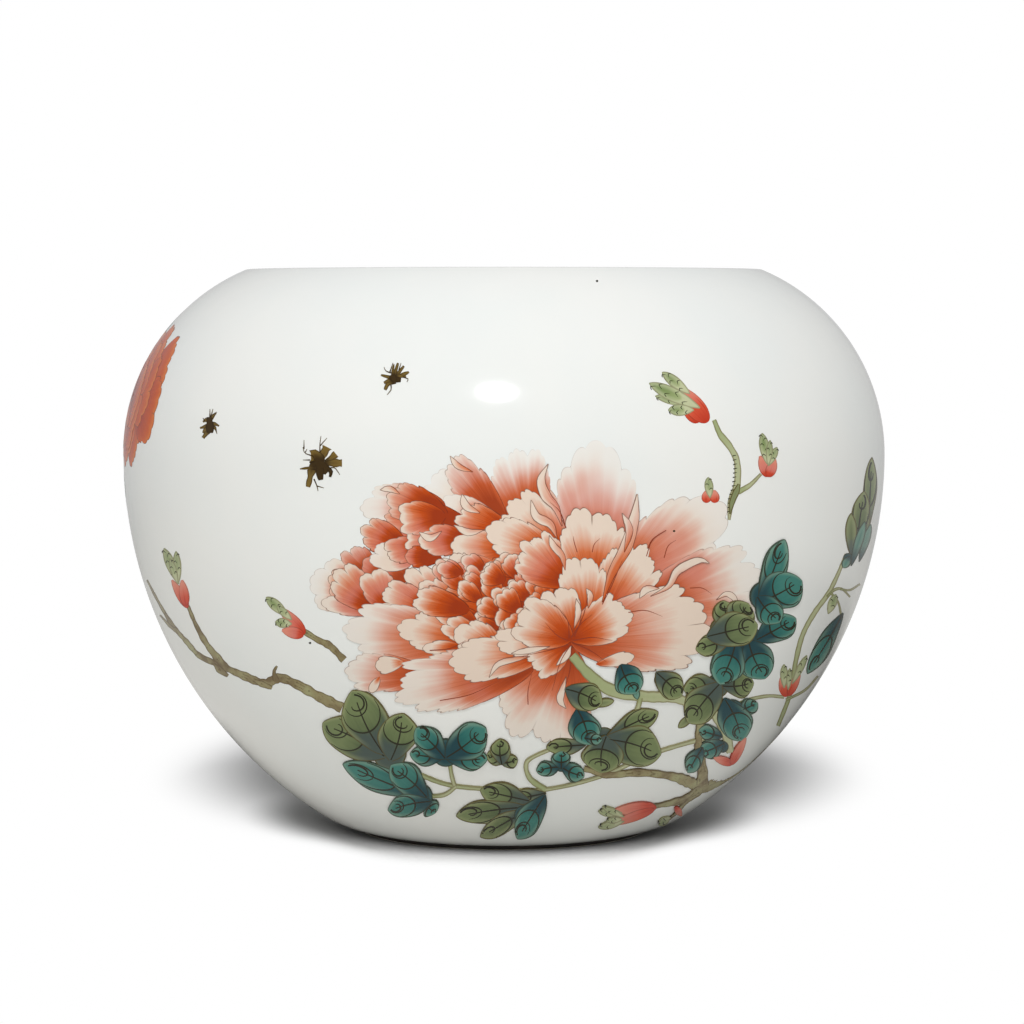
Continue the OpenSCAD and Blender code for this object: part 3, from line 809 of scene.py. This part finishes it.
for piece, (x, y, r), *lobes in (
    (GREEN, (390, 752, 17), (386, 756, 323, 722, 38), (384, 753, 352, 690, 44), (391, 760, 404, 713, 40)),
    (BLUE, (446, 752, 14), (442, 758, 410, 753, 20), (446, 758, 416, 727, 26), (446, 757, 488, 758, 24),
     (446, 757, 486, 727, 36)),
    (BLUE, (420, 796, 13), (427, 796, 343, 763, 27), (428, 797, 391, 764, 30), (426, 802, 436, 812, 20),
     (432, 800, 388, 809, 24)),
    (GREEN, (502, 757, 8), (506, 760, 487, 753, 18), (500, 762, 518, 759, 15), (502, 764, 500, 738, 21)),
    (GREEN, (520, 806, 13), (546, 792, 505, 800, 16), (530, 800, 480, 789, 24), (526, 806, 456, 815, 24),
     (530, 808, 480, 836, 20)),
    (BLUE, (524, 814, 10), (545, 794, 517, 838, 26)),
    (GREEN, (604, 740, 13), (586, 744, 546, 747, 18), (606, 738, 658, 711, 24), (604, 738, 661, 753, 42),
     (606, 735, 600, 772, 42)),
    (BLUE, (584, 722, 11), (577, 708, 590, 744, 32), (584, 737, 602, 739, 13)),
    (GREEN, (580, 695, 10), (590, 705, 614, 700, 9), (565, 688, 602, 703, 30)),
    (BLUE, (561, 764, 7), (560, 766, 536, 770, 16), (561, 766, 584, 776, 19), (561, 768, 561, 750, 20)),
    (BLUE, (626, 674, 10), (634, 684, 637, 699, 8), (620, 664, 636, 693, 31)),
    (GREEN, (662, 680, 8), (656, 672, 681, 696, 27)),
    (GREEN, (717, 686, 12), (722, 686, 754, 683, 27), (718, 684, 683, 689, 26), (694, 714, 678, 728, 9),
     (720, 682, 687, 722, 34)),
    (BLUE, (746, 640, 16), (748, 640, 765, 679, 36), (736, 638, 719, 684, 34)),
    (GREEN, (722, 630, 13), (724, 628, 723, 600, 24), (728, 640, 695, 649, 22), (730, 624, 748, 603, 30),
     (706, 636, 757, 624, 36)),
    (BLUE, (764, 596, 15), (760, 604, 784, 539, 25), (757, 602, 801, 580, 40), (756, 640, 796, 618, 29),
     (756, 596, 779, 622, 28)),
    (BLUE, (732, 712, 13), (738, 712, 757, 702, 17), (724, 698, 742, 740, 34)),
    (BLUE, (722, 746, 6), (722, 736, 698, 729, 17), (724, 742, 699, 753, 20), (702, 746, 687, 772, 17)),
    (GREEN, (862, 524, 7), (866, 536, 872, 457, 14), (857, 552, 864, 491, 19), (851, 556, 851, 513, 12)),
    (BLUE, (848, 558, 5), (859, 562, 871, 524, 8), (851, 566, 865, 521, 9), (850, 556, 843, 568, 9)),
    (BLUE, (831, 632, 6), (843, 613, 807, 674, 17)),
):
    leaf_body(piece, (x, y), r)
    for *ends, width in lobes:
        leaf_lobe(piece, *pairs(ends), width, veins=width > VEINED_PX)

# Buds: coral petals of a base, a tip and a width, with sprouting sepals

for *ends, width in (
    (698, 423, 682, 392, 17), (708, 422, 676, 386, 20), (768, 477, 760, 456, 11), (768, 477, 775, 459, 11),
    (706, 503, 707, 490, 10), (715, 503, 714, 490, 10), (188, 608, 172, 580, 9), (186, 606, 182, 580, 10),
    (305, 634, 280, 608, 13), (304, 635, 282, 630, 12), (656, 806, 614, 810, 13), (654, 808, 610, 824, 10),
    (786, 697, 781, 677, 10), (788, 696, 800, 672, 9), (732, 763, 713, 757, 9), (730, 764, 745, 737, 9),
    (675, 806, 681, 815, 7),
):
    bud_petal(*pairs(ends), width)
for *ends, width in (
    (696, 405, 655, 396, 10), (700, 408, 649, 383, 14), (694, 410, 668, 410, 12), (690, 394, 662, 372, 11),
    (767, 464, 762, 433, 10), (768, 466, 777, 447, 8), (768, 466, 770, 440, 7), (710, 498, 708, 477, 9),
    (179, 584, 164, 548, 10), (179, 582, 176, 551, 8), (178, 584, 170, 558, 7), (288, 616, 266, 597, 11),
    (292, 624, 275, 622, 10), (292, 620, 277, 606, 8), (622, 812, 598, 811, 9), (624, 820, 598, 827, 8),
    (624, 816, 602, 806, 7), (622, 818, 606, 820, 7), (784, 688, 784, 664, 8), (792, 684, 807, 655, 7),
    (788, 690, 790, 668, 6), (828, 614, 836, 594, 9), (670, 816, 658, 824, 8),
):
    sepal(*pairs(ends), width)

# The red blossom round the left side: rings of petals about its centre

RED_AT, RED_HALF = (-79, 9.6), (118, 63)
for from_share, to_share, count, lobes in ((0.42, 1.0, 11, 4), (0.22, 0.72, 8, 4), (0.02, 0.42, 6, 3)):
    girth = math.tau * math.hypot(*RED_HALF) / 1.41 * to_share / count
    for i in every_other(count):
        a = math.tau * (i + 0.3 * math.sin(5 * i)) / count
        way = np.array([math.sin(a), -math.cos(a)]) * RED_HALF
        root, tip = tuple(way * from_share), tuple(way * to_share)
        petal(RED, root, tip, girth * 1.25, lobes, view=unrolled(*RED_AT))

# Specks of iron that came up through the glaze in the kiln

for x, y in ((597, 281), (310, 643), (674, 531)):
    stroke(DARK_LINE, ((x - 1.2, y), (x, y), (x + 1.2, y)), (1, 2.4, 1), stays=False)

# Bees


def bee(dabs, body, hairs):
    """Dabs of the brush as points and widths, then the dark body, then fine legs and hairs."""
    for points, widths in dabs:
        stroke(BEE, pairs(points), widths, rough=0.12, fold=1.0)
    for points, widths in body:
        stroke(BEE, pairs(points), widths, rough=0.12, along=0.0, fold=1.0)
    for points in hairs:
        stroke(BEE, pairs(points), (1.3, 0.9, 0.5), stays=False, fold=1.0)


bee(
    (
        ((319, 464, 323, 455, 327, 447), (4, 7, 11)), ((325, 463, 331, 458, 336, 454), (3, 6, 8)),
        ((324, 463, 333, 463, 342, 463), (4, 7, 9)), ((320, 464, 314, 456, 311, 456), (12, 15, 9)),
        ((316, 463, 312, 470, 310, 478, 308, 487), (8, 9, 6, 4)), ((316, 468, 308, 468, 300, 469), (5, 3, 1)),
    ),
    (
        ((318, 462, 324, 468, 328, 472), (7, 12, 8)), ((320, 468, 320, 475, 321, 480), (8, 7, 4)),
        ((328, 468, 331, 472, 330, 477), (4, 5, 2)),
    ),
    (
        (313, 456, 305, 453, 303, 447), (305, 453, 307, 449), (304, 449, 304, 440),
        (320, 453, 320, 444, 321, 436), (320, 446, 327, 438), (314, 479, 317, 486, 318, 491),
        (317, 486, 324, 488), (330, 468, 335, 468, 340, 475), (310, 460, 303, 460),
    ),
)
bee(
    (
        ((395, 378, 402, 375, 409, 372), (4, 5, 2)), ((395, 377, 400, 371, 404, 366), (4, 4, 2)),
        ((394, 377, 396, 370, 398, 363), (4, 4, 2)), ((393, 377, 393, 370, 394, 364), (3, 3, 1)),
        ((394, 379, 388, 377, 381, 375), (5, 4, 2)), ((394, 380, 388, 384, 385, 390), (6, 5, 3)),
        ((394, 379, 388, 381, 384, 383), (4, 4, 2)), ((396, 378, 400, 376, 406, 377), (5, 4, 2)),
    ),
    (((390, 376, 394, 379, 401, 380), (5, 7, 4)), ((393, 376, 394, 380, 395, 384), (5, 6, 3))),
    (
        (391, 373, 386, 371, 384, 367), (403, 377, 408, 379, 407, 382), (391, 385, 391, 390, 387, 395),
        (399, 370, 401, 363), (390, 372, 393, 363),
    ),
)
bee(
    (
        ((209, 425, 204, 427, 200, 428), (4, 4, 2)), ((211, 424, 215, 424, 219, 426), (4, 4, 2)),
        ((210, 421, 206, 420, 203, 422), (4, 4, 2)), ((210, 420, 213, 416, 216, 413), (4, 4, 2)),
        ((209, 430, 206, 434, 203, 438), (6, 5, 3)), ((211, 427, 215, 428, 216, 431), (4, 3, 1)),
        ((209, 428, 205, 430, 203, 433), (5, 4, 2)),
    ),
    (((209, 417, 210, 424, 210, 433), (5, 8, 6)),),
    (
        (211, 417, 213, 409), (210, 417, 210, 409), (216, 430, 217, 434), (205, 421, 203, 418),
        (214, 414, 217, 412),
    ),
)

# Enamel materials, less glassy than the glaze

# The last is the height in metres above which the bare clay is painted dark, as painted shade under the heel
ENAMEL_SHINE, BARK_BUMP, GRIT_BUMP, HEEL_SHADE_Z = 0.2, 0.00003, 0.00004, 0.0002
BLUSH, DEEP_EDGE, PALE_EDGE = (216, 148, 140), (92, 30, 14), (112, 66, 42)


def edge_wobble(recipe):
    """How far the brush strays where it lines an edge."""
    return recipe.clouds(900.0, 1.0) * 0.9


def fired(recipe, tint, skin, dull, bump=FINE_BUMP, uneven=0.1):
    """Enamel out of the kiln: its skin makes it uneven and varies its gloss."""
    normal = recipe.bump(skin, bump)
    return recipe.glossy(tint, skin * uneven + dull, normal, Specular_IOR_Level=ENAMEL_SHINE)


def petal_enamel(name, *stops, edge=0.85, flush=0.4):
    """Petal enamel, deep at the root and pale at the tip, streaked by the brush and lined round its edge."""
    recipe = Recipe(name)
    along, rim, grain, seed = recipe.marks("along", "rim", "grain", "seed")
    pale, fade, cleft = recipe.marks("pale", "fade", "cleft")
    deepest, palest = stops[0][1:], stops[-1][1:]
    streak = recipe.streaks(grain * 0.3 + seed * 7, along * 1.6, seed, 3.0) - 0.5
    fine = recipe.streaks(grain * 1.1 + seed * 3, along * 1.2, seed, 1.0) - 0.5
    cloud = recipe.clouds(130.0, 2.0) - 0.5
    soft, out = 1 - fade * 0.55, along + pale
    tint = recipe.ramp(out + rim.rise(9.0, 1.0) * 0.1 + streak * soft * 0.14 + cloud * 0.26, *stops)
    tint = recipe.blend(fine.rise(0.04, 0.16) * out.rise(0.8, 0.36) * soft * 0.65, tint, deepest)
    blush = recipe.clouds(75.0, 1.0).rise(0.5, 0.66) * out.rise(0.3, 0.5)
    tint = recipe.blend(blush * out.rise(0.85, 0.6) * flush, tint, BLUSH)
    bare = recipe.blend(0.25, glaze_tint(recipe), palest)
    tint = recipe.blend(fade * (along + cloud * 0.4).rise(0.55, 1.0), tint, bare)
    line = (rim + edge_wobble(recipe)).rise(1.5, 0.7)
    line = line + cleft.rise(0.9, 0.4) * along.rise(0.84, 0.95) * 0.7
    broken = recipe.clouds(210.0, 1.0).rise(0.42, 0.55)
    line = line * (1 - fade * along.rise(0.35, 0.7) * (0.97 - broken * 0.35))
    edge_tint = recipe.blend(along.rise(0.5, 1.0), DEEP_EDGE, PALE_EDGE)
    tint = recipe.blend(line.rise(0.0, 1.0) * edge, tint, edge_tint)
    return fired(recipe, tint, recipe.clouds(420.0, 2.0), 0.14)


def leaf_enamel(name, root, middle, tip, ink, pale, edge=0.85):
    """Translucent leaf enamel: dark at the root, clear at the tip and the sides, with a fine ink edge."""
    recipe = Recipe(name)
    along, rim, grain, seed, fold = recipe.marks("along", "rim", "grain", "seed", "fold")
    wash = recipe.clouds(160.0, 3.0) - 0.5
    streak = recipe.streaks(grain * 0.4 + seed * 5, along * 2.0, seed, 2.0) - 0.5
    out_of_fold = fold.rise(0.12, -0.12) * 0.34 - 0.17
    tint = recipe.ramp(along + out_of_fold + wash * 0.8 + streak * 0.3, (0.1, *root), (0.5, *middle), (0.95, *tip))
    tint = recipe.blend((rim + wash * 5).rise(6.5, 1.0) * along.rise(0.1, 0.5) * 0.6, tint, pale)
    tint = recipe.blend((rim + edge_wobble(recipe)).rise(2.2, 0.9) * edge, tint, ink)
    return fired(recipe, tint, recipe.clouds(380.0, 2.0), 0.12)


def bark_enamel():
    """Mottled olive and grey-green strokes with a broken dark edge."""
    recipe = Recipe("olive_enamel")
    rim, grain = recipe.marks("rim", "grain")
    mottle = recipe.clouds(330.0, 3.0)
    dabs = recipe.streaks(grain * 0.22, rim * 0.5, 0.0, 2.0)
    tint = recipe.ramp(mottle, (0.35, 118, 102, 72), (0.5, 146, 136, 98), (0.68, 160, 158, 116))
    tint = recipe.blend(dabs.rise(0.56, 0.66) * 0.6, tint, (92, 76, 46))
    tint = recipe.blend((rim + dabs * 1.6).rise(2.1, 0.9) * 0.75, tint, (86, 68, 42))
    return fired(recipe, tint, mottle, 0.12, BARK_BUMP, 0.12)


# Stops of the petals' colours: a place from root to tip and its colour

INNER_STOPS = (
    (0.16, 156, 50, 0), (0.4, 192, 74, 6), (0.57, 209, 112, 66), (0.71, 219, 162, 134), (0.87, 227, 209, 193),
)
OUTER_STOPS = (
    (0.16, 158, 58, 16), (0.4, 193, 86, 42), (0.57, 208, 121, 88), (0.71, 219, 165, 144), (0.87, 227, 209, 193),
)
RED_STOPS = (0.1, 134, 26, 0), (0.45, 170, 52, 0), (0.8, 194, 80, 10), (1.0, 207, 106, 34)
CORAL_STOPS = (0.05, 180, 44, 22), (0.5, 207, 80, 54), (0.95, 219, 138, 118)

# Every painted piece with its slot, its material and the CAD node that it stands for, if it has one

red_line = leaf_enamel("red_line_enamel", (140, 56, 30), (146, 62, 36), (156, 74, 46), (136, 54, 30), (152, 70, 44))
green = leaf_enamel("green_enamel", (72, 86, 80), (86, 101, 66), (116, 130, 86), (84, 70, 30), (154, 160, 114))
blue = leaf_enamel("blue_enamel", (24, 66, 74), (36, 102, 98), (62, 126, 116), (46, 52, 36), (130, 162, 142))
dark_line = leaf_enamel("line_enamel", (34, 38, 24), (42, 42, 24), (52, 48, 26), (38, 36, 20), (46, 44, 24))
light_green = leaf_enamel(
    "light_green_enamel", (157, 167, 120), (169, 178, 137), (176, 180, 143), (104, 88, 46), (184, 186, 148), 0.6
)
sprout = leaf_enamel(
    "sepal_enamel", (188, 192, 154), (160, 172, 122), (118, 138, 84), (92, 80, 44), (190, 194, 158), 0.5
)
bee_brown = leaf_enamel(
    "bee_enamel", (58, 42, 14), (94, 72, 28), (124, 100, 46), (44, 30, 8), (126, 104, 52), 0.55
)
for name, slot, material, *nodes in (
    (OUTER, "enamel_pale_pink", petal_enamel("pale_pink_enamel", *OUTER_STOPS), OUTER),
    (INNER, "enamel_rose", petal_enamel("rose_enamel", *INNER_STOPS), INNER),
    (HEART, "enamel_iron_red", petal_enamel("iron_red_enamel", *INNER_STOPS), HEART),
    (CURLED, "enamel_rose", petal_enamel("curled_edge_enamel", *INNER_STOPS)),
    (RED_LINE, "enamel_iron_red", red_line),
    (RED, "enamel_orange", petal_enamel("orange_enamel", *RED_STOPS, flush=0.05), RED),
    (GREEN, "enamel_green", green, GREEN),
    (BLUE, "enamel_blue", blue, BLUE),
    (DARK_LINE, "enamel_dark", dark_line),
    (BRANCH, "enamel_olive", bark_enamel(), BRANCH),
    (STALK, "enamel_light_green", light_green, STALK),
    (BUD, "enamel_coral", petal_enamel("coral_enamel", *CORAL_STOPS, edge=0.45), BUD),
    (SEPAL, "enamel_sepal", sprout, SEPAL),
    (BEE, "enamel_dark", bee_brown, BEE),
):
    hand_over(gathered(name), slot, material, *nodes)

# The bare foot ring and the glazed base keep their shapes


def bare_porcelain():
    """Unglazed clay, matt and faintly warm where it has worn on tables, and painted dark above that,
    as painted shade for the shadow under the heel.
    """
    recipe = Recipe("bare_porcelain")
    grit, worn = recipe.clouds(1400.0, 3.0), recipe.clouds(160.0, 3.0)
    clay = recipe.ramp(worn + grit * 0.3, (0.45, 196, 184, 164), (0.62, 216, 208, 192), (0.8, 226, 221, 209))
    # Painted shade: the clay above the standing rim is painted near black for the shadow under the heel
    heel_shade_paint = recipe.blend(worn.rise(0.4, 0.7), (22, 16, 12), (44, 32, 22))
    tint = recipe.blend(recipe.part(recipe.places(), "Z").rise(0.0, HEEL_SHADE_Z), clay, heel_shade_paint)
    return recipe.glossy(tint, grit * 0.2 + 0.5, recipe.bump(grit, GRIT_BUMP))


for node, finish in (("porcelain_body", bare_porcelain()), ("base_glaze", glaze_material)):
    for place in bpy.data.objects[node].material_slots:
        place.material = finish

# Floor, lamps and surroundings, in metres

HIGHLIGHT_PX = (497, 392)
LAMP_AWAY, LAMP_WIDE, LAMP_POWER = 1.1, 0.17, 5.2
PANEL_UP, PANEL_WIDE, PANEL_POWER = 0.9, 1.6, 2.2
WASH_AWAY, WASH_LEAN, WASH_SIDE = 1.2, 41, -0.03
WASH_WIDE, WASH_TALL, WASH_POWER = 0.2, 1.2, 55
ROOM_LIGHT, ROOM_SHEEN = 0.555, 0.52
FLOOR_WIDE = 8
# The last floor colour is painted shade, a darker colour that the floor sends back at the right behind the pot
FLOOR_GREY, FLOOR_BOUNCE, FLOOR_PAINTED_SHADE = (158, 158, 158), (128, 127, 124), (60, 59, 57)
SHADOW_BACK, SHADOW_SHAPE, CONTACT_AT = (0.0015, 0.0442, 0), (1, 0.68, 1), (0, 0.012, 0)
# Soft edges of the floor's shadow, of its nearer front, of its place of painted shade and of what the glaze mirrors
OVAL_EDGE, FOOT_EDGE, FRONT_EDGE, FRONT_REACH = (0.0395, 0.068), (0.033, 0.044), (0.03, 0.012), 0.01
DIM_RIGHT, DIM_BACK, DIM_AWAY, SHEEN_AWAY = (0.03, 0.07), (-0.06, 0.02), (0.22, 0.12), (0.1, 0.7)


def aimed_lamp(name, way, away, aim, shape, wide, tall, power):
    """A lamp that stands off from its aim along a way and shines back at it."""
    bpy.ops.object.light_add(type="AREA", location=Vector(aim) + Vector(way) * away)
    lamp = bpy.context.object
    lamp.name = name
    lamp.rotation_euler = Vector(way).to_track_quat("Z", "Y").to_euler()
    lamp.data.shape, lamp.data.size, lamp.data.size_y, lamp.data.energy = shape, wide, tall, power
    return lamp


def highlight_way():
    """Where the highlight shows on the glaze, and the way from there to the lamp that it mirrors."""
    turn, z = seen_at(*HIGHLIGHT_PX)
    spot = on_wall(turn, z, 0.0)
    face = (on_wall(turn, z, 1.0) - spot) * 1000
    sight = spot - np.array(camera.location)
    sight /= np.linalg.norm(sight)
    return spot, sight - 2 * sight.dot(face) * face


def floor_white():
    """A grey floor that its own lamp washes white, so that the pot's shadow stays deep. To the camera it is plain
    white, apart from an oval behind the pot and a smaller place round its foot, where the shadow shows. It is as
    bright as the room where the glaze mirrors it. At the right behind the pot it sends less light back, because its
    colour there is painted darker: painted shade for the pot's lower right side."""
    recipe = Recipe("floor_white")
    place = recipe.places()
    right, back = recipe.part(place, "X"), recipe.part(place, "Y")
    seen, mirrored = recipe.ray(CAMERA_RAY), recipe.ray(MIRRORED_RAY)

    def off(point, spot):
        return recipe.node("ShaderNodeVectorMath", {"operation": "DISTANCE"}, point, spot, outlet="Value")

    away = off(place, (0, 0, 0))
    shaped = recipe.node("ShaderNodeVectorMath", {"operation": "MULTIPLY"}, place, SHADOW_SHAPE)
    past_oval = off(shaped, SHADOW_BACK).rise(*OVAL_EDGE)
    past_foot = (off(place, CONTACT_AT) - abs(right).rise(*FRONT_EDGE) * FRONT_REACH).rise(*FOOT_EDGE)
    # Painted shade: where the floor's colour turns darker, at the right behind the pot
    dim = right.rise(*DIM_RIGHT) * back.rise(*DIM_BACK) * away.rise(*DIM_AWAY)
    bounce, dim_bounce, grey = (
        recipe.node("ShaderNodeBsdfDiffuse", {}, linear(*tint)) for tint in (FLOOR_BOUNCE, FLOOR_PAINTED_SHADE, FLOOR_GREY)
    )
    white, sheen = (recipe.node("ShaderNodeEmission", {}, WHITE, level) for level in (1.0, ROOM_SHEEN))
    floor_paint = recipe.mixed(seen, recipe.mixed(dim, bounce, dim_bounce), grey)
    near = recipe.mixed(mirrored * away.rise(*SHEEN_AWAY), floor_paint, sheen)
    return recipe.shown("Material Output", recipe.mixed(seen * past_foot * past_oval, near, white))


def white_room():
    """An even room: plain light on everything, dimmer where the glaze mirrors it, white to the camera."""
    recipe = Recipe("white_room", "worlds")
    room, sheen, white = (
        recipe.node("ShaderNodeBackground", {}, WHITE, level) for level in (ROOM_LIGHT, ROOM_SHEEN, 1.0)
    )
    room = recipe.mixed(recipe.ray(MIRRORED_RAY), room, sheen)
    return recipe.shown("World Output", recipe.mixed(recipe.ray(CAMERA_RAY), room, white))


bpy.ops.mesh.primitive_plane_add(size=FLOOR_WIDE)
floor = bpy.context.object
floor.name = "floor"
floor.data.materials.append(floor_white())
spot, to_lamp = highlight_way()
aimed_lamp("key_lamp", to_lamp, LAMP_AWAY, spot, "ELLIPSE", LAMP_WIDE, LAMP_WIDE, LAMP_POWER)
panel = aimed_lamp(
    "overhead_panel", (0, 0, 1), PANEL_UP, (0, 0, 0), "RECTANGLE", PANEL_WIDE, PANEL_WIDE, PANEL_POWER
)
panel.visible_glossy = False
lean = math.radians(WASH_LEAN)
wash_way = Vector((WASH_SIDE, -math.cos(lean), math.sin(lean))).normalized()
wash = aimed_lamp("floor_wash", wash_way, WASH_AWAY, (0, 0, 0), "ELLIPSE", WASH_WIDE, WASH_TALL, WASH_POWER)
washed = bpy.data.collections.new("washed_floor")
washed.objects.link(floor)
wash.light_linking.receiver_collection = washed
bpy.context.scene.world = white_room()
